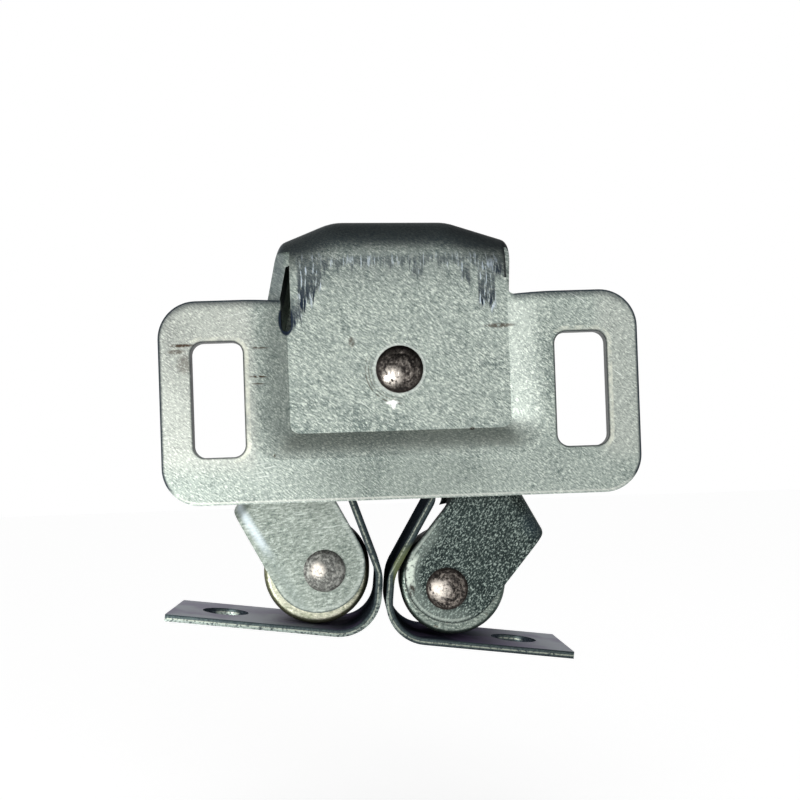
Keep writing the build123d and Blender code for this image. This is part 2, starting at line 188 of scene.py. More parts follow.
class Signal:
    """A number that varies over a surface, with Python's operators for its Math nodes."""

    def __init__(self, bench: Bench, socket: NodeSocket) -> None:
        """Keeps the socket and the bench that adds nodes to its tree."""
        self.bench = bench
        self.socket = socket

    def _math(self, operation: str, *values: Any, clamp: bool = False) -> Signal:
        """Adds one Math node.

        Args:
            operation: The Math node's operation.
            *values: Signals or numbers for its sockets.
            clamp: Whether the result is kept from 0 to 1.

        Returns:
            The node's result.
        """
        settings = {"operation": operation, "use_clamp": clamp}
        return self.bench.number("ShaderNodeMath", settings, dict(enumerate(values)))

    def __add__(self, other: Any) -> Signal:
        """Sum."""
        return self._math("ADD", self, other)

    __radd__ = __add__

    def __sub__(self, other: Any) -> Signal:
        """Difference."""
        return self._math("SUBTRACT", self, other)

    def __rsub__(self, other: Any) -> Signal:
        """Difference the other way round."""
        return self._math("SUBTRACT", other, self)

    def __mul__(self, other: Any) -> Signal:
        """Product."""
        return self._math("MULTIPLY", self, other)

    __rmul__ = __mul__

    def __truediv__(self, other: Any) -> Signal:
        """Quotient."""
        return self._math("DIVIDE", self, other)

    def __abs__(self) -> Signal:
        """Distance from zero."""
        return self._math("ABSOLUTE", self)

    def __pow__(self, power: Number) -> Signal:
        """Power."""
        return self._math("POWER", self, power)

    def most(self, other: Any) -> Signal:
        """Larger of two."""
        return self._math("MAXIMUM", self, other)

    def least(self, other: Any) -> Signal:
        """Smaller of two."""
        return self._math("MINIMUM", self, other)

    def root(self) -> Signal:
        """Square root."""
        return self._math("SQRT", self)

    def kept(self) -> Signal:
        """Value kept from 0 to 1."""
        return self._math("ADD", self, 0.0, clamp=True)

    def rise(self, low: Number, high: Number) -> Signal:
        """Smooth step from 0 at low to 1 at high."""
        settings = {"interpolation_type": "SMOOTHSTEP", "clamp": True}
        values = {"Value": self, "From Min": low, "From Max": high}
        return self.bench.number("ShaderNodeMapRange", settings, values)

    def fall(self, low: Number, high: Number) -> Signal:
        """Smooth step from 1 at low to 0 at high."""
        return 1.0 - self.rise(low, high)

    def band(self, low: Number, high: Number, soft: Number) -> Signal:
        """1 between two limits, falling softly outside them."""
        return self.rise(low - soft, low) * self.fall(high, high + soft)

    def near(self, centre: Number, reach: Number) -> Signal:
        """1 at a value, falling to 0 at a distance from it."""
        return abs(self - centre).fall(0.0, reach)


class Bench:
    """Adds the nodes of one material, or of the world."""

    def __init__(self, owner: Union[Material, World]) -> None:
        """Starts with an empty node tree."""
        self.owner = owner
        owner.use_nodes = True
        self.tree = owner.node_tree
        self.tree.nodes.clear()

    def node(self, kind: str, settings: dict[str, Any], values: dict[Any, Any]) -> Node:
        """Adds a node, sets it up and fills or links its sockets.

        Args:
            kind: The node's type.
            settings: Its properties, which are set first.
            values: Numbers, colours, sockets or signals, by the socket's name or number.

        Returns:
            The node.
        """
        made = self.tree.nodes.new(kind)
        for key, value in settings.items():
            setattr(made, key, value)
        for key, value in values.items():
            if isinstance(value, Signal):
                self.tree.links.new(value.socket, made.inputs[key])
            elif isinstance(value, NodeSocket):
                self.tree.links.new(value, made.inputs[key])
            else:
                made.inputs[key].default_value = value
        return made

    def number(self, kind: str, settings: dict[str, Any], values: dict[Any, Any]) -> Signal:
        """Adds a node and returns its first output as a signal."""
        return Signal(self, self.node(kind, settings, values).outputs[0])

    def vector(self, x: Any, y: Any, z: Any) -> NodeSocket:
        """Vector of three signals or numbers."""
        return self.node("ShaderNodeCombineXYZ", {}, {0: x, 1: y, 2: z}).outputs[0]

    def place(self) -> tuple[NodeSocket, Signal, Signal, Signal]:
        """Object coordinates, whole and as x, y and z in millimetres."""
        coordinates = self.node("ShaderNodeTexCoord", {}, {}).outputs["Object"]
        values = {0: coordinates, "Scale": 1 / MM}
        scaled = self.node("ShaderNodeVectorMath", {"operation": "SCALE"}, values).outputs[0]
        return scaled, *self.parts(scaled)

    def facing(self) -> tuple[Signal, Signal, Signal]:
        """Parts of the surface's own direction along x, y and z."""
        return self.parts(self.node("ShaderNodeTexCoord", {}, {}).outputs["Normal"])

    def parts(self, vector: NodeSocket) -> tuple[Signal, Signal, Signal]:
        """X, y and z of a vector."""
        apart = self.node("ShaderNodeSeparateXYZ", {}, {0: vector})
        return tuple(Signal(self, apart.outputs[axis]) for axis in range(3))

    def rays(self, *kinds: str) -> Signal:
        """1 for rays of the given kinds and 0 for all others."""
        outputs = self.node("ShaderNodeLightPath", {}, {}).outputs
        first, *others = (Signal(self, outputs[f"Is {kind} Ray"]) for kind in kinds)
        for other in others:
            first = first.most(other)
        return first

    def strokes(self, point: NodeSocket, turn: Number, length: Number, width: Number) -> Signal:
        """Noise pulled into strokes.

        Args:
            point: Coordinates in millimetres.
            turn: How far the strokes slope down towards +X, in degrees.
            length: Length of a stroke in millimetres.
            width: Width of a stroke in millimetres.

        Returns:
            Noise about 0.5.
        """
        values = {"Vector": point, "Rotation": (0.0, math.radians(turn), 0.0),
                  "Scale": (length, width, width)}
        along = self.node("ShaderNodeMapping", {"vector_type": "TEXTURE"}, values).outputs[0]
        return self.noise(along, 1.0, 2.0, 0.6)

    def edge(self, across: Signal, up: Signal, half: Pair, corner: Number) -> Signal:
        """Distance to a rounded rectangle about 0, 0, negative inside it.

        It is the length of what passes the box that the corner's centre moves in, plus the larger
        side distance inside that box, less the corner's radius.
        """
        over = abs(across) - (half[0] - corner)
        above = abs(up) - (half[1] - corner)
        passed = (over.most(0.0) ** 2 + above.most(0.0) ** 2).root()
        return passed + over.most(above).least(0.0) - corner

    def away(self, x: Signal, z: Signal, centre: Sequence[Number]) -> Signal:
        """Distance from a line along Y, in millimetres."""
        return ((x - centre[0]) ** 2 + (z - centre[1]) ** 2).root()

    def noise(self, point: NodeSocket, scale: Number, detail: Number = 2.0,
              roughness: Number = 0.5, distortion: Number = 0.0) -> Signal:
        """Noise about 0.5, with its scale in patches a millimetre."""
        values = {"Vector": point, "Scale": scale, "Detail": detail, "Roughness": roughness,
                  "Distortion": distortion}
        return self.number("ShaderNodeTexNoise", {}, values)

    def layers(self, colour: Any, *coats: tuple[Signal, Tone]) -> Any:
        """Lays tones over a colour, one after another, each by its share kept from 0 to 1.

        The node takes its two colours at sockets 6 and 7, and gives the mixed one at output 2.
        """
        for share, tone in coats:
            values = {0: share.kept(), 6: colour, 7: tone}
            colour = self.node("ShaderNodeMix", {"data_type": "RGBA"}, values).outputs[2]
        return colour

    def metal(self, colour: Any, roughness: Signal, height: Signal, depth: float,
              metallic: Any = 0.9, shine: float = 0.5) -> Material:
        """Closes the material with a metal surface.

        Args:
            colour: Base colour.
            roughness: Roughness, which is kept from 0 to 1.
            height: Relief of the surface, about 0 to 1.
            depth: Depth of that relief in metres.
            metallic: Share of metal, as a number or signal.
            shine: Specular level of the share that isn't metal.

        Returns:
            The finished material.
        """
        relief = {"Strength": 1.0, "Distance": depth, "Height": height}
        bump = self.node("ShaderNodeBump", {}, relief).outputs[0]
        values = {"Base Color": colour, "Metallic": metallic,
                  "Roughness": roughness.kept(), "Normal": bump, "Specular IOR Level": shine}
        surface = self.node("ShaderNodeBsdfPrincipled", {}, values)
        self.node("ShaderNodeOutputMaterial", {}, {"Surface": surface.outputs[0]})
        return self.owner


class Gloss(Enum):
    """How smooth a steel finish is."""

    SATIN = 0.44
    DULL = 0.55
    PEENED = 0.27
    DRAWN = 0.38


@dataclass(frozen=True)
class ZincFinish:
    """Zinc plating with its fine flecks and cloudy patches.

    The tone is light where the flecks are, mid between them and dark in the clouds.
    """

    name: str
    light: Tone
    mid: Tone
    dark: Tone
    gloss: Gloss = Gloss.SATIN
    fleck_length: float = 0.42
    fleck_width: float = 0.14
    fleck_turn: float = 38.0
    cloud_share: float = 0.35
    relief: float = 0.00002

    def start(self) -> tuple[Bench, Any, Signal, Signal, tuple]:
        """Starts the material.

        Returns:
            The bench, the fleck colour, the roughness, the relief and the coordinates. The colour
            is the mid tone, mixed to the light one by flecks and to the dark one by clouds.
        """
        bench = Bench(bpy.data.materials.new(self.name))
        point, x, y, z = bench.place()
        fleck = bench.strokes(point, self.fleck_turn, self.fleck_length, self.fleck_width)
        dots = bench.noise(point, 1.3 / self.fleck_width, 2.0, 0.6)
        grain = fleck * 0.65 + dots * 0.35
        cloud = bench.noise(point, 0.55, 3.0, 0.6, 0.4)
        haze = bench.noise(point, 0.12)
        clouds = (cloud.rise(0.5, 0.75) + haze.rise(0.5, 0.7)) * self.cloud_share
        pits = grain.fall(0.36, 0.49) * 0.8
        flecks = grain.rise(0.50, 0.64) * 0.9
        colour = bench.layers(self.mid, (pits + clouds, self.dark), (flecks, self.light))
        roughness = self.gloss.value + (cloud - 0.5) * 0.12 - (grain - 0.5) * 0.3
        return bench, colour, roughness, grain + cloud * 0.2, (point, x, y, z)


@dataclass
class Sheet:
    """The plate's bench and colour, with the signals that the plate's layers share."""

    bench: Bench
    point: NodeSocket
    x: Signal
    y: Signal
    z: Signal
    across: Signal
    forward: Signal
    up: Signal
    front: Signal
    colour: Any

    def lay(self, *coats: tuple[Signal, Tone]) -> None:
        """Lays tones over the colour."""
        self.colour = self.bench.layers(self.colour, *coats)

    def spot(self, centre: Pair, size: Pair) -> Signal:
        """Soft oval: 1 at the centre, 0 at one size away along x and z."""
        across = (self.x - centre[0]) / size[0]
        up = (self.z - centre[1]) / size[1]
        return (across * across + up * up).fall(0.1, 1.0)

    def spots(self, table: Sequence[tuple[Pair, Pair, float]]) -> Signal:
        """Sum of soft ovals, each by its own share."""
        return sum(self.spot(centre, size) * share for centre, size, share in table)

    def patches(self, scale: Number, low: Number, high: Number) -> Signal:
        """Patches of noise, from 0 at the low level to 1 at the high one."""
        return self.bench.noise(self.point, scale).rise(low, high)


@dataclass
class Plate:
    """The folded plate: two wings, the pad pressed back between them and the hood.

    Its sizes are in millimetres: the middle of the rivet, the outermost turned mark, and half the
    width and height of the wings and of the slots.
    """

    node: str = "mounting_plate"
    rivet: Pair = (0.0, 2.6)
    arc_radius: float = 3.45
    wing: Pair = (24.0, 10.2)
    wing_middle: float = -0.3
    wing_corner: float = 3.8
    slot: Pair = (2.6, 5.75)
    slot_place: float = 18.2
    slot_corner: float = 1.2
    finish: ZincFinish = ZincFinish(
        "plate_zinc", shade(222, 230, 219), shade(158, 168, 161), shade(96, 109, 106))

    def painted_face_light_and_shade(self, on: Sheet) -> Signal:
        """Lays painted shade and painted light on the bent and sloped faces; returns the share of the
        painted shade on the hood's top.
        """
        x, z, front = on.x, on.z, on.front
        # Painted shade: the hood's top, where the surface faces up, and the face just under its bend
        # are darkened.
        hood_top_shade = on.up.rise(0.0, 0.5) * z.rise(13.2, 15.2)
        hood_top_shade = hood_top_shade.most(z.rise(9.0, 14.0) * on.y.fall(7.0, 9.0) * 0.38)
        # Painted shade: faces turned towards +x high on the hood, faces turned towards -x and the
        # left edge of the hood's front are darkened.
        inner_face_shade = on.across.rise(0.12, 0.5) * z.rise(10.0, 10.8) * front
        left_facing_shade = on.across.fall(-0.8, -0.3) * z.rise(4.0, 13.0)
        left_edge_shade = x.fall(-11.7, -11.3) * front * z.rise(9.3, 10.2)
        low = z.fall(8.5, 10.0) * front
        # Painted shade on the left slope round the pad; painted light on the right slope and on the
        # lower slope.
        left_slope_shade = on.across.rise(0.15, 0.4) * x.fall(-11.6, -10.4) * low
        right_slope_light = on.across.fall(-0.4, -0.15) * x.rise(10.4, 11.6) * low
        lower_slope_light = on.up.rise(0.15, 0.4) * z.band(-6.6, -3.4, 0.5) * front
        # Painted light: the wings are lightened, the left one more; painted shade: a strip across the
        # lower middle is darkened.
        wings = x.fall(-15.4, -13.8) * 0.17 + x.rise(19.0, 21.0) * 0.11
        lower_strip_shade = on.spot((-0.7, -8.4), (13.0, 3.4)) * front
        on.lay(
            (hood_top_shade * 0.85, shade(58, 68, 74)),
            (inner_face_shade * 0.9, shade(34, 38, 44)),
            (left_facing_shade.most(left_edge_shade) * 0.5, shade(84, 92, 98)),
            (left_slope_shade * 0.4, shade(98, 108, 104)),
            (right_slope_light * 0.18, shade(240, 246, 238)),
            (wings * z.rise(-8.4, -5.4) * front, shade(248, 240, 232)),
            (lower_strip_shade * 0.28, shade(96, 106, 100)),
            (lower_slope_light * 0.22, shade(206, 216, 206)),
        )
        return hood_top_shade

    def streaks(self, on: Sheet, side: Pair, top: float, low: Pair, seed: float, amount: float
                ) -> tuple[Signal, Signal]:
        """Drawing marks that hang down from the hood's bend.

        The marks end on a line that rises from one side to the other, roughened by a noise that is
        stretched along z, and another such noise parts them.

        Args:
            on: The plate's bench and signals.
            side, top, low, seed, amount: Numbers of one group, in the order that STREAKS gives.

        Returns:
            Share of the dark tone and share of the bright one.
        """
        bench, x, z = on.bench, on.x, on.z
        ragged = bench.noise(bench.vector(x, seed, z * 0.05), 2.6, 3.0, 0.7)
        line = bench.noise(bench.vector(x, seed + 7.0, z * 0.12), 4.2, 3.0, 0.7)
        share = (x - side[0]) / (side[1] - side[0])
        end = share * (low[1] - low[0]) + (low[0] - 0.2) + (ragged - 0.5) * 4.0
        hanging = (z - end).rise(0.0, 0.9) * z.fall(top - 0.8, top) * x.band(*side, 0.25)
        deeper = 0.35 + z.fall((low[0] + low[1]) / 2, top) * 0.65
        dark = (hanging * line.rise(0.36, 0.52) * deeper).kept()
        bright = (hanging * line.fall(0.36, 0.44) * 0.8).kept()
        return dark * amount, bright * amount

    def drawn(self, on: Sheet) -> Signal:
        """Lays the press's marks below the bend and painted shade in the narrow gap left of the hood;
        returns the share of both dark tones.
        """
        (dark, bright), *groups = (self.streaks(on, *group) for group in STREAKS)
        for more_dark, more_bright in groups:
            dark, bright = dark.most(more_dark), bright.most(more_bright)
        # Painted shade: the narrow gap beside the hood's left side is filled with the navy tone.
        slit_shade = on.spot((-11.3, 7.9), (0.85, 1.75)).rise(0.0, 0.3)
        dark = dark.most(slit_shade) * on.front
        on.lay((dark, NAVY), (bright * on.front * (1.0 - dark), shade(196, 208, 222)))
        return dark

    def seat(self, on: Sheet) -> Signal:
        """Lays the marks, the ring and a painted highlight round the rivet; returns the turned marks'
        share.
        """
        away = on.bench.away(on.x, on.z, self.rivet)
        turned = on.x.fall(-0.6, 1.0) * on.z.fall(2.4, 4.6) * on.front
        rings = (away.near(self.arc_radius, 0.12) + away.near(self.arc_radius - 0.32, 0.1) * 0.8
                 + away.near(self.arc_radius - 0.6, 0.09) * 0.6)
        rings = rings * turned * on.patches(1.9, 0.3, 0.55)
        ring = away.band(2.4, 2.62, 0.1) * on.front
        # Painted highlight: a white glint on the pressed ring below the rivet.
        ring_glint = on.spots(RING_GLINT) * on.front * on.patches(4.0, 0.25, 0.45)
        on.lay((rings * 0.8, BROWN), (ring * 0.45, PALE), (ring_glint * 1.4, WHITE))
        return rings

    def worn(self, on: Sheet) -> None:
        """Lays the smudges, scratches and scuffs on the side that faces out."""
        bench, x, z = on.bench, on.x, on.z
        outer = on.forward.fall(-0.4, 0.0) * on.front
        smudges = on.spots(SMUDGES) * on.patches(3.0, 0.3, 0.5)
        arc = bench.away(x, z, (14.6, 3.9)).near(6.35, 0.07) * on.spot((18.0, 9.0), (1.5, 1.4))
        scratch = bench.strokes(on.point, 38.0, 5.0, 0.16).rise(0.68, 0.74) * x.rise(19.0, 21.5)
        marks = arc + scratch
        for turn, levels, middle, reach, share in SCUFFS:
            scuff = bench.strokes(on.point, turn, 3.2, 0.16).rise(*levels)
            marks = marks + scuff * on.spot(middle, reach) * share
        on.lay((smudges * outer, BROWN), (marks * outer * 0.9, PALE))

    def edges(self, on: Sheet) -> None:
        """Lays painted shade on the rounded rim, a painted highlight line above the lower edge, the
        darker sheared lower edge, painted highlights on the slots' edges and painted shade in the
        slots.
        """
        x, z = on.x, on.z
        wings = abs(x).rise(11.4, 12.0).most(z.fall(8.0, 9.0)) * on.y.fall(1.6, 2.4)
        rim = on.bench.edge(x, z - self.wing_middle, self.wing, self.wing_corner)
        # Painted shade: a broad dark band inside the top edge and a thin one along the sides.
        top_edge_shade = rim.rise(-1.0, -0.05) * z.rise(6.5, 9.6) * 0.75
        rim_edge_shade = top_edge_shade.most(rim.rise(-0.38, -0.08) * z.rise(-9.8, -8.4))
        # Painted highlight: a pale line just inside the lower edge.
        below = rim.band(-0.28, -0.18, 0.08) * z.fall(-9.8, -9.0)
        sheared = on.up.fall(-0.95, -0.5) * z.fall(-9.9, -9.4)
        slot = on.bench.edge(abs(x) - self.slot_place, z, self.slot, self.slot_corner)
        # Painted highlight on the slots' edges on the sides that face the light, and painted shade in
        # the slots.
        lit = x.rise(-17.0, -16.0) * x.fall(-15.0, -14.0) + x.rise(20.0, 21.0)
        lit = (lit + z.rise(5.6, 5.9) * 0.8).kept()
        slot_edge_highlight = slot.band(0.2, 0.5, 0.15) * lit * on.patches(1.2, 0.3, 0.6)
        on.lay(
            (rim_edge_shade * wings, shade(46, 54, 60)),
            (below * wings * 0.4, shade(230, 230, 222)),
            (sheared * 0.95, shade(70, 62, 58)),
            (slot_edge_highlight * wings * 0.6, shade(226, 228, 212)),
            (slot.fall(0.04, 0.26) * wings * 0.9, shade(44, 48, 50)),
        )

    def material(self) -> Material:
        """Zinc with the press tool's marks, painted shade on the rounded edges and the smudges that
        the plate carries, with painted light and shade on its bent faces and a painted glint by the
        rivet.
        """
        bench, colour, roughness, relief, (point, x, y, z) = self.finish.start()
        on = Sheet(bench, point, x, y, z, *bench.facing(), y.fall(7.0, 8.0), colour)
        hood_top_shade, marks, rings = self.painted_face_light_and_shade(on), self.drawn(on), self.seat(on)
        self.worn(on)
        self.edges(on)
        # The dark share from the marks below the bend also holds the painted shade of the gap beside
        # the hood.
        roughness = roughness + marks * 0.1 + hood_top_shade * 0.1
        relief = relief - marks * 0.4 - rings * 0.8
        return bench.metal(on.colour, roughness, relief, self.finish.relief)

    def dress(self, nodes: Nodes) -> Object:
        """Gives the plate its finish."""
        return wear(nodes[self.node], self.material())


@dataclass
class Arms:
    """The two bent arms; the left one is bright, and the right one is darker, as painted shade, and
    grainier.

    A limb has the middle of its round end in millimetres, and the direction from there towards its
    straight inner edge.
    """

    left_limb: Pair = (-9.01, -17.16)
    left_inward: Pair = (0.886, 0.463)
    right_limb: Pair = (4.70, -18.60)
    right_inward: Pair = (-0.770, 0.637)
    left: ZincFinish = ZincFinish(
        "left_arm_zinc", shade(178, 187, 179), shade(140, 149, 141), shade(98, 109, 103),
        Gloss.SATIN, 0.5, 0.2, -12.0, 0.2, 0.000008)
    # Painted shade: the right arm's tones are a darker copy of the left arm's zinc.
    right: ZincFinish = ZincFinish(
        "right_arm_shaded_zinc", shade(164, 178, 170), shade(54, 65, 63), shade(16, 23, 25),
        Gloss.DULL, 0.28, 0.16, -52.0, 0.25, 0.00002)

    def limb(self, x: Signal, z: Signal, centre: Pair, inward: Pair, turn: int
             ) -> tuple[Signal, Signal]:
        """Distance from the middle of a limb's round end.

        Past the round end the distance is the one across the limb, so it stays the same along the
        inner edge.

        Args:
            x: Place along the plate in millimetres.
            z: Height in millimetres.
            centre: Middle of the round end.
            inward: Direction from it towards the straight inner edge.
            turn: 1 where the limb runs on a quarter turn left of that direction, -1 where right.

        Returns:
            The distance, and 1 where it means something: round the end and along the inner edge.
        """
        right, rise = x - centre[0], z - centre[1]
        across = right * inward[0] + rise * inward[1]
        along = (rise * inward[0] - right * inward[1]) * turn
        away = (across * across + along.least(0.0) ** 2).root()
        return away, along.fall(0.0, 1.0).most(across.rise(0.0, 1.0))

    def left_material(self) -> Material:
        """Bright zinc with a painted highlight band and painted shade on the rim of the round end, a
        painted blue highlight along the outer bend with painted shade below it, and light scores.
        """
        bench, colour, roughness, relief, (point, x, y, z) = self.left.start()
        front = y.fall(4.2, 5.0)
        away, there = self.limb(x, z, self.left_limb, self.left_inward, 1)
        out = (x + 17.7) * 0.866 + (z + 11.1) * 0.5
        scores = bench.strokes(point, -6.0, 2.6, 0.2).rise(0.58, 0.7) * z.rise(-15.5, -13.0)
        colour = bench.layers(
            colour,
            # Painted highlight: a paler band inside the round end's edge; painted shade: a dark band
            # at that edge.
            (away.band(4.4, 4.6, 0.15) * there * front * 0.25, shade(196, 204, 198)),
            (away.rise(4.66, 4.84) * there * front * 0.8, shade(60, 68, 70)),
            # Painted highlight: a blue-white gleam along the outer bend; painted shade: a darker band
            # on the bend below it.
            (out.near(0.8, 0.7) * z.rise(-16.6, -14.4) * front * 0.6, shade(214, 226, 234)),
            (out.near(0.8, 1.1) * z.fall(-16.0, -14.0) * 0.35, shade(120, 132, 128)),
            (scores * 0.45, shade(206, 214, 208)),
        )
        return bench.metal(colour, roughness, relief, self.left.relief)

    def right_material(self) -> Material:
        """Dark zinc, darker as painted shade, with light specks, a painted highlight on the left of
        the rim, painted shade at the rim's edge and a brown mark on it.
        """
        bench, colour, roughness, relief, (point, x, y, z) = self.right.start()
        front = y.fall(3.2, 4.0)
        away, there = self.limb(x, z, self.right_limb, self.right_inward, -1)
        rim = there * front
        # Painted highlight on the left of the rim: a broad paler band, a pale line and a speckled
        # bright patch.
        worn = rim * (x + z * 0.3).fall(-1.8, 0.6)
        speckle = bench.noise(point, 3.2, 3.0, 0.6).rise(0.36, 0.5)
        patch = away.band(4.1, 4.6, 0.35) * z.band(-19.0, -17.0, 0.9) * x.fall(1.6, 2.4) * speckle
        mark = (((x - 0.55) / 0.35) ** 2 + ((z + 19.9) / 0.9) ** 2).fall(0.2, 1.0)
        mark = mark * bench.noise(point, 2.6).rise(0.35, 0.5)
        elbow = bench.away(x, z, (14.0, -13.2)).fall(0.6, 2.6) * front
        colour = bench.layers(
            colour,
            (away.band(3.9, 4.6, 0.9) * worn * 0.35, shade(150, 162, 154)),
            (away.band(4.46, 4.58, 0.1) * worn * 0.35, shade(206, 216, 206)),
            (patch * rim * 0.85, shade(214, 224, 212)),
            # Painted shade: a dark band at the rim's edge.
            (away.rise(4.66, 4.84) * rim * 0.9, shade(30, 34, 34)),
            (mark * 0.85, shade(52, 42, 38)),
            (elbow * 0.5, shade(66, 84, 94)),
        )
        return bench.metal(colour, roughness, relief, self.right.relief)

    def dress(self, nodes: Nodes) -> list[Object]:
        """Gives both arms their finishes."""
        return [wear(nodes["left_arm"], self.left_material()),
                wear(nodes["right_arm"], self.right_material())]


@dataclass
class Rollers:
    """The two loose rollers, with yellow plating; the left one's face carries a painted highlight,
    and the right one is darker, as painted shade.
    """

    left: ZincFinish = ZincFinish(
        "left_roller_steel", shade(216, 216, 194), shade(168, 172, 150), shade(104, 112, 92),
        Gloss.SATIN, 0.4, 0.2, 10.0, 0.3, 0.000012)
    # Painted shade: the right roller's tones are darker than the left one's.
    right: ZincFinish = ZincFinish(
        "right_roller_shaded_steel", shade(188, 198, 186), shade(122, 133, 126), shade(60, 72, 68),
        Gloss.SATIN, 0.4, 0.2, 10.0, 0.3, 0.000012)

    def material(self, node: str, finish: ZincFinish, olive: Tone, glow: float) -> Material:
        """Satin steel with a painted highlight on the face, painted shade in an olive tone at the
        rim, painted shade on the sides and a few brown spots.
        """
        bench, colour, roughness, relief, (point, x, _, z) = finish.start()
        _, forward, _ = bench.facing()
        low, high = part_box(node)
        away = bench.away(x, z, ((low.x + high.x) / 2 / MM, (low.z + high.z) / 2 / MM))
        broken = bench.noise(point, 1.1).rise(0.3, 0.6)
        spots = bench.noise(point, 1.4, 3.0, 0.6).rise(0.64, 0.72)
        colour = bench.layers(
            colour,
            # Painted highlight: the face is lightened to cream in broken patches, by the share that
            # glow gives.
            (away.fall(4.96, 5.16) * broken * glow, shade(244, 240, 224)),
            # Painted shade: a band in the olive tone at the rim, and the sides, which face along x
            # and z, darkened.
            (away.rise(4.98, 5.22) * 0.8, olive),
            (abs(forward).fall(0.1, 0.75) * 0.85, shade(42, 44, 36)),
            (spots * 0.6, shade(96, 70, 46)),
        )
        return bench.metal(colour, roughness, relief, finish.relief)

    def dress(self, nodes: Nodes) -> list[Object]:
        """Gives both rollers their finishes."""
        # The last number is the share of the painted highlight on the face.
        left = self.material("left_roller", self.left, shade(96, 97, 70), 0.25)
        right = self.material("right_roller", self.right, shade(50, 66, 60), 0.0)
        return [wear(nodes["left_roller"], left), wear(nodes["right_roller"], right)]


@dataclass
class Strike:
    """The bent strip, with painted shade on its upward faces inside the bends, painted light towards
    the feet's ends, and a purple tint on the feet.

    Its sizes are in millimetres and degrees, in the strike's own frame. They place the middle of
    the strip's thickness.
    """

    node: str = "strike"
    pivot: float = 2.6
    reach: float = 21.263
    tilt: float = 6.0
    leg: float = 0.59
    bend: float = 4.01
    foot: float = -6.160
    foot_slope: float = 0.0279
    flare: float = 0.275
    head_tilt: float = 24.8
    finish: ZincFinish = ZincFinish(
        "strike_zinc", shade(70, 78, 84), shade(44, 51, 58), shade(26, 31, 38),
        Gloss.DRAWN, 0.4, 0.16, 5.0, 0.35, 0.00001)

    def across(self, x: Signal, z: Signal) -> Signal:
        """How far a point of the cut edge lies off the middle of the strip's thickness.

        The point is turned and moved into the strike's own frame, where both halves are alike. A
        foot and a leg meet in an arc, so there the distance is the one from the arc's centre less
        its radius. On the head it is the distance from the leaning line. It is positive on the
        side that the strike turns to the middle and down.

        Args:
            x: Place along the plate in millimetres.
            z: Height in millimetres.

        Returns:
            The distance in millimetres.
        """
        turn = math.radians(self.tilt)
        lean = math.radians(self.head_tilt)
        right = x * math.cos(turn) - (z - self.pivot) * math.sin(turn)
        rise = (z - self.pivot) * math.cos(turn) + x * math.sin(turn) + self.reach
        side = (self.leg + self.bend) - abs(right)
        below = (self.foot + self.bend) - (rise + right * self.foot_slope)
        bent = (side.most(0.0) ** 2 + below.most(0.0) ** 2).root() - self.bend
        bent = bent + side.most(below).least(0.0)
        head = (rise - self.flare) * math.sin(lean) - (abs(right) - self.leg) * math.cos(lean)
        return bent.most(head)

    def material(self) -> Material:
        """Navy and purple zinc, with painted shade on the upward faces, painted light towards the
        feet's ends, and a bright sheared line on the dark cut edges.
        """
        bench, colour, roughness, relief, (point, x, _, z) = self.finish.start()
        _, forward, up = bench.facing()
        # Painted shade: faces that face up are darkened; painted light: towards the feet's ends they
        # are lightened.
        top = up.rise(0.7, 0.95) * z.fall(-19.0, -18.0)
        foot_end_light = top * abs(x).rise(5.0, 17.0)
        purple = bench.noise(point, 0.22).rise(0.4, 0.62)
        cut = abs(forward).rise(0.8, 0.95)
        grain = bench.noise(point, 4.5, 3.0, 0.6)
        across = self.across(x, z)
        line = across.band(0.03, 0.07, 0.08) * grain.rise(0.34, 0.54)
        under = across.rise(0.02, 0.12) * z.fall(-21.0, -19.5) * x.fall(-2.0, 0.0)
        tint = (((z + 17.4) / 2.6) ** 2).fall(0.0, 1.0) * x.band(-1.1, 2.6, 0.4)
        colour = bench.layers(
            colour,
            (top * 0.8, shade(44, 47, 60)),
            (foot_end_light * 0.9, shade(166, 170, 178)),
            (top * purple * 0.5, shade(112, 98, 130)),
            (cut * (0.3 + grain.rise(0.4, 0.62) * 0.5), shade(82, 94, 92)),
            (cut * abs(across).rise(0.16, 0.32) * 0.8, shade(30, 38, 42)),
            (cut * line * 0.65, shade(186, 192, 176)),
            (cut * under * grain.rise(0.36, 0.56) * 0.6, shade(166, 178, 170)),
            (tint * cut * 0.32, shade(134, 142, 84)),
        )
        metallic = (cut * 0.8 + foot_end_light * 0.4).kept()
        return bench.metal(colour, roughness, relief, self.finish.relief, metallic, 0.0)

    def dress(self, nodes: Nodes) -> Object:
        """Gives the strike its finish."""
        return wear(nodes[self.node], self.material())


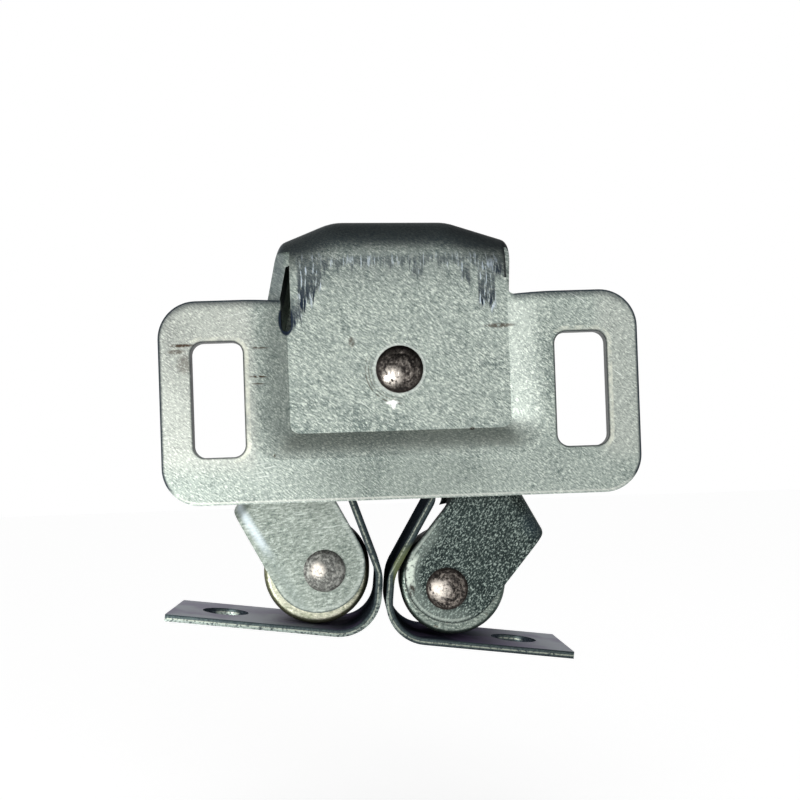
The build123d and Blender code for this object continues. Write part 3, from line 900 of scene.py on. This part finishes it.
@dataclass
class Spring:
    """The drawn wire spring between the arms' tails, in two halves.

    Sizes are in millimetres. The coil lies across the line from the pivot to the spring's middle.
    """

    node: str = "spring"
    body: str = "catch_body"
    slot: str = "spring_steel"
    pivot: Triple = (0.0, 8.125, 2.6)
    tilt: float = 6.0
    rise: float = 6.6
    coil: float = 2.4
    wire: float = 0.4
    turns: float = 7.0
    seat: float = 1.0
    steps: int = 260
    around: int = 14
    finish: ZincFinish = ZincFinish(
        "spring_wire", shade(150, 150, 150), shade(104, 105, 108), shade(62, 64, 68),
        Gloss.DRAWN, 0.2, 0.1, 0.0, 0.2, 0.000006)

    def axes(self) -> tuple[np.ndarray, np.ndarray, np.ndarray]:
        """Middle of the coil, and the directions along it and up across it."""
        turn = math.radians(self.tilt)
        along = np.array([math.cos(turn), 0.0, -math.sin(turn)])
        up = np.array([math.sin(turn), 0.0, math.cos(turn)])
        return np.array(self.pivot) + up * self.rise, along, up

    def half_length(self) -> float:
        """Half the coil's length to the middle of its last wire, from the node's leaning box."""
        low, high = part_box(self.node)
        turn = math.radians(self.tilt)
        across = 2 * (self.coil + self.wire)
        whole = ((high.x - low.x) / MM - across * math.sin(turn)) / math.cos(turn)
        return whole / 2 - self.wire

    def mesh(self, name: str, side: int) -> Mesh:
        """Half of the coil, closed at both ends.

        The wire's middle is a helix: its place along the axis and its angle both grow with the
        step. Each ring of points lies in the plane of the outward direction and the one square to
        it and to the wire.

        Args:
            name: Name of the mesh.
            side: 1 for the half on the right and -1 for the one on the left.

        Returns:
            The mesh, in metres.
        """
        middle, along, up = self.axes()
        back = np.array([0.0, 1.0, 0.0])
        half = self.half_length()
        share = np.linspace(0.0, 1.0, self.steps)[:, None]
        angle = share * self.turns * math.pi * side
        outward = up * np.cos(angle) + back * np.sin(angle)
        line = middle + along * share * half * side + outward * self.coil
        turning = self.turns * math.pi * side * self.coil
        travel = along * half * side + (back * np.cos(angle) - up * np.sin(angle)) * turning
        travel = travel / np.linalg.norm(travel, axis=1, keepdims=True)
        square = np.cross(travel, outward)
        ring = np.linspace(0.0, 2 * math.pi, self.around, endpoint=False)[None, :, None]
        section = outward[:, None] * np.cos(ring) + square[:, None] * np.sin(ring)
        return tube(name, line[:, None] + self.wire * section, line[0], line[-1])

    def build(self) -> list[Object]:
        """Makes both halves, one on either side of the coil's middle."""
        bench, colour, roughness, relief, _ = self.finish.start()
        steel = bench.metal(colour, roughness, relief, self.finish.relief)
        middle, along, _ = self.axes()
        reach = self.half_length() - self.seat
        halves = []
        for name, side, lever in (("spring_left", -1, "left_lever"),
                                  ("spring_right", 1, "right_lever")):
            piece = wear(add_object(name, self.mesh(name, side)), steel)
            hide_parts(self.node)
            tuple(middle * MM)
            tuple((middle + along * side * reach) * MM)
            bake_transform(piece)
            halves.append(piece)
        return halves


@dataclass
class PeenedRivet:
    """A riveted pin: a shank with a hammered dome at each end.

    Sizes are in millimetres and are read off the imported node, so the piece stays where the node is.
    """

    node: str
    body: str
    seed: int
    tone: Tone
    shadow: Tone
    head_radius: float
    head_height: float
    lean: tuple[int, int] = (0, 0)
    slot: str = "rivet_steel"
    shank_radius: float = 1.5
    # Place and radius of the painted highlight patch, and share of the painted shade at the rim.
    highlight_offset: Pair = (-0.75, -0.75)
    highlight_radius: float = 1.3
    rim_shade_share: float = 0.9
    gloss: Gloss = Gloss.PEENED
    relief: float = 0.000012
    hollow: float = 0.05
    dents: int = 34
    around: int = 160
    steps: int = 46

    def profile(self, front: float, back: float) -> tuple[np.ndarray, np.ndarray, np.ndarray]:
        """Half outline from the front pole to the back pole.

        Each dome is a cap: its height falls with the square of the distance from the axis, and its
        rim is a short straight side. Between the domes runs the shank.

        Args:
            front: Depth of the front dome's seat in millimetres.
            back: Depth of the back dome's seat.

        Returns:
            Distances from the axis, depths, and a weight that is 1 on the domes and 0 elsewhere.
        """
        share = np.linspace(0.0, 1.0, self.steps)
        head, shank = self.head_radius, self.shank_radius
        radius = head * np.sin(share * math.pi / 2)
        rim = self.head_height * 0.25
        rise = rim + (self.head_height - rim) * (1.0 - (radius / head) ** 2)
        rise = rise - rim * np.clip((share - 0.93) / 0.07, 0.0, 1.0) ** 2 * 0.6
        weight = np.clip((1.0 - share) * 6.0, 0.0, 1.0)
        radii = np.concatenate([radius, [head, shank, shank, head], radius[::-1]])
        depths = np.concatenate([front - rise, [front, front, back, back], (back + rise)[::-1]])
        weights = np.concatenate([weight, np.zeros(4), weight[::-1]])
        return radii, depths, weights

    def centres(self, low: Vector, high: Vector) -> tuple[list[float], list[float]]:
        """Middles of the front head and of the shank, x and z in millimetres.

        The front head leans off the shank's axis, so along x and z the node's box is the head's
        width plus the lean, and each middle is one head radius from its end of the box.
        """
        head, axis = [], []
        for side, start, end in zip(self.lean, (low.x, low.z), (high.x, high.z)):
            ends = (start / MM + self.head_radius, end / MM - self.head_radius)
            head.append(ends[side > 0])
            axis.append(ends[side <= 0])
        return head, axis

    def mesh(self, low: Vector, high: Vector) -> Mesh:
        """Surface of revolution, with hammer dents on the domes.

        A point is the axis plus its distance from it, turned by the angle. Each dent lowers the
        dome by a bell curve about a seeded place on it.

        Args:
            low: Lowest corner of the node in metres.
            high: Highest corner of the node.

        Returns:
            The mesh, in metres.
        """
        head, axis = self.centres(low, high)
        front = low.y / MM + self.head_height
        back = high.y / MM - self.head_height
        radii, depths, weights = self.profile(front, back)
        angle = np.linspace(0.0, 2 * math.pi, self.around, endpoint=False)
        inner = slice(1, len(radii) - 1)
        across = radii[inner, None] * np.cos(angle)
        up = radii[inner, None] * np.sin(angle)
        rng = np.random.default_rng(self.seed)
        spread = self.head_radius * 0.95 * np.sqrt(rng.random(self.dents))
        turn = rng.random(self.dents) * 2 * math.pi
        size = rng.uniform(0.16, 0.42, self.dents)
        deep = rng.uniform(0.3, 1.0, self.dents) * self.hollow
        gap = ((across[..., None] - spread * np.cos(turn)) ** 2
               + (up[..., None] - spread * np.sin(turn)) ** 2)
        dent = (deep * np.exp(-gap / size ** 2)).sum(-1)
        dent = np.minimum(dent, self.hollow * 2.2) * weights[inner, None]
        place = np.arange(len(radii))[inner, None]
        depth = depths[inner, None] + np.where(place < len(radii) // 2, dent, -dent)
        on_head = place <= self.steps
        centre_x = np.where(on_head, head[0], axis[0])
        centre_z = np.where(on_head, head[1], axis[1])
        rings = np.stack([centre_x + across, depth, centre_z + up], -1)
        start = np.array([head[0], depths[0], head[1]])
        return tube(self.node + "_peened", rings, start, np.array([axis[0], depths[-1], axis[1]]))

    def material(self) -> Material:
        """Bare hammered steel: turned marks about the head's middle, dark dents, a painted highlight
        patch off the middle and painted shade at the rim.
        """
        bench = Bench(bpy.data.materials.new(self.node + "_steel"))
        point, x, _, z = bench.place()
        head, _ = self.centres(*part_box(self.node))
        away = bench.away(x, z, head) / self.head_radius
        # Painted highlight: a light patch off the head's middle, towards the light.
        middle = (head[0] + self.highlight_offset[0], head[1] + self.highlight_offset[1])
        worn = bench.away(x, z, middle) / self.highlight_radius
        grain = bench.noise(point, 3.6, 4.0, 0.7)
        patch = bench.noise(point, 1.5, 3.0, 0.6, 0.6)
        turned = bench.vector(away * 7.0 + patch * 2.5, x * 0.8, z * 0.8)
        ring = bench.noise(turned, 1.0, 2.0, 0.6)
        mottle = ring * 0.4 + grain * 0.6
        colour = bench.layers(
            self.shadow,
            (mottle.rise(0.42, 0.60), self.tone),
            (patch.rise(0.5, 0.64) * 0.6, self.shadow),
            (worn.fall(0.3, 1.0) * mottle.rise(0.36, 0.54) * 0.9, shade(226, 218, 208)),
            (mottle.rise(0.56, 0.66) * away.fall(0.5, 0.95) * 0.6, shade(200, 192, 184)),
            # Painted shade at the dome's rim.
            (away.rise(0.80, 0.95) * self.rim_shade_share, shade(38, 34, 32)),
        )
        roughness = self.gloss.value + (patch - 0.5) * 0.3
        return bench.metal(colour, roughness, ring + grain * 0.6, self.relief, 0.95)

    def build(self) -> Object:
        """Makes the piece in place of its node."""
        shape = self.mesh(*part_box(self.node))
        piece = wear(add_object(self.node + "_peened", shape), self.material())
        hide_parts(self.node)
        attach(piece, self.body)
        return piece


@dataclass
class Studio:
    """The pale floor, the white surroundings and the lamps.

    A lamp has its name, its place and size in metres, and its watts.
    """

    floor_level: float = -0.0455
    floor_reach: float = 1.2
    squares: int = 8
    glow: float = 0.46
    key: tuple = ("key", (-0.072, -0.080, -0.034), 0.025, 0.045)
    glint: tuple = ("glint", (-0.055, -0.12, -0.036), 0.008, 0.02)
    fill: tuple = ("fill", (0.10, -0.26, 0.10), 0.16, 0.08)
    target: Triple = (0.0, 0.005, -0.004)

    def floor(self) -> None:
        """Flat sheet: x and y run over a grid, and the height is constant."""
        line = self.squares + 1
        side = np.linspace(-self.floor_reach, self.floor_reach, line)
        x, y = np.meshgrid(side, side, indexing="ij")
        points = np.stack([x, y, np.full_like(x, self.floor_level)], -1).reshape(-1, 3)
        count = np.arange(self.squares)
        corner = (count[:, None] * line + count).ravel()
        faces = np.stack([corner, corner + line, corner + line + 1, corner + 1], -1)
        mesh = bpy.data.meshes.new("floor")
        mesh.from_pydata(points.tolist(), [], faces.tolist())
        mesh.update()
        bench = Bench(bpy.data.materials.new("floor_white"))
        strength = bench.rays("Camera", "Glossy", "Transmission") * self.glow
        paper = bench.node("ShaderNodeBsdfDiffuse", {}, {"Color": shade(240, 240, 240)})
        light = bench.node("ShaderNodeEmission", {}, {"Color": LIGHT, "Strength": strength})
        both = bench.node("ShaderNodeAddShader", {}, {0: paper.outputs[0], 1: light.outputs[0]})
        bench.node("ShaderNodeOutputMaterial", {}, {"Surface": both.outputs[0]})
        made = wear(add_object("floor", mesh), bench.owner)

    def surroundings(self) -> None:
        """White all round for the camera; dark overhead and light in front and below for steel."""
        world = bpy.data.worlds.new("studio")
        bpy.context.scene.world = world
        bench = Bench(world)
        right, _, up = bench.parts(bench.node("ShaderNodeTexCoord", {}, {}).outputs["Generated"])
        sky = ((1.0 - up.rise(0.25, 0.95) * 0.9) * (1.0 - right.rise(0.0, 0.65) * 0.6)
               + right.fall(-0.8, -0.1) * up.fall(0.2, 0.6) * 0.5) * 0.9
        camera = bench.rays("Camera")
        mirror = bench.rays("Glossy", "Transmission")
        strength = camera + (1.0 - camera) * (mirror * sky + (1.0 - mirror) * 0.6)
        glow = bench.node("ShaderNodeBackground", {}, {"Color": LIGHT, "Strength": strength})
        bench.node("ShaderNodeOutputWorld", {}, {"Surface": glow.outputs[0]})

    def lamp(self, name: str, place: Triple, size: float, watts: float, colour: Triple) -> None:
        """Square lamp that points at the middle of the catch."""
        data = bpy.data.lights.new(name, "AREA")
        data.size = size
        data.energy = watts
        data.color = colour
        made = add_object(name, data)
        made.location = place
        made.visible_camera = False
        made.rotation_mode = "QUATERNION"
        made.rotation_quaternion = (Vector(self.target) - Vector(place)).to_track_quat("-Z", "Y")

    def build(self) -> None:
        """Builds the floor, the surroundings and the lamps."""
        self.floor()
        self.surroundings()
        self.lamp(*self.key, (1.0, 0.995, 0.97))
        self.lamp(*self.glint, (1.0, 1.0, 1.0))
        self.lamp(*self.fill, (0.97, 0.99, 1.0))


@dataclass
class Viewpoint:
    """The photograph's viewpoint, in millimetres, degrees and pixels."""

    place: Triple = (-3.22, -105.5, -7.86)
    yaw: float = 1.585
    pitch: float = 0.686
    roll: float = -1.971
    focal: float = 1056.6
    drop: float = 60.0
    frame: int = 800

    def build(self) -> None:
        """Makes the camera. It looks along +Y, turned by the three angles."""
        yaw, pitch, roll = (math.radians(angle) for angle in (self.yaw, self.pitch, self.roll))
        ahead = Vector((math.sin(yaw) * math.cos(pitch), math.cos(yaw) * math.cos(pitch),
                        math.sin(pitch)))
        level = Vector((math.cos(yaw), -math.sin(yaw), 0.0))
        upright = level.cross(ahead)
        right = level * math.cos(roll) + upright * math.sin(roll)
        above = upright * math.cos(roll) - level * math.sin(roll)
        data = bpy.data.cameras.new("camera")
        data.sensor_width = 36.0
        data.lens = self.focal / self.frame * data.sensor_width
        data.shift_y = self.drop / self.frame
        data.clip_start = 0.005
        data.clip_end = 20.0
        made = add_object("camera", data)
        made.matrix_world = Matrix((
            (right.x, above.x, -ahead.x, self.place[0] * MM),
            (right.y, above.y, -ahead.y, self.place[1] * MM),
            (right.z, above.z, -ahead.z, self.place[2] * MM),
            (0.0, 0.0, 0.0, 1.0),
        ))
        bpy.context.scene.camera = made


def main() -> None:
    """Builds the scene, one sub-assembly after another."""
    logging.basicConfig(level=logging.INFO, format="%(message)s")
    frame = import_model()
    nodes = frame["nodes"]
    bpy.context.scene.view_settings.view_transform = "Standard"
    Viewpoint().build()
    Studio().build()
    for piece in (Plate().dress(nodes), *Arms().dress(nodes), *Rollers().dress(nodes),
                  Strike().dress(nodes), *Spring().build()):
        LOG.info("dressed %s", piece.name)
    deep, pin, dull = shade(40, 37, 36), (2.15, 0.95), {"gloss": Gloss.DULL, "relief": 0.00004}
    rivets = (
        PeenedRivet("pivot_rivet", "catch_body", 4, shade(112, 106, 100), deep, 2.4, 1.15),
        PeenedRivet("left_roller_pin", "left_lever", 11, shade(174, 176, 170), shade(98, 99, 96),
                    *pin, (1, 1), highlight_offset=(-0.65, 0.15), highlight_radius=1.1, rim_shade_share=0.35, **dull),
        PeenedRivet("right_roller_pin", "right_lever", 23, shade(150, 142, 134), deep,
                    *pin, (1, -1), highlight_offset=(-0.7, 0.0), highlight_radius=1.35, **dull),
    )
    for rivet in rivets:
        LOG.info("built %s", rivet.build().name)


if __name__ == "__main__":
    main()
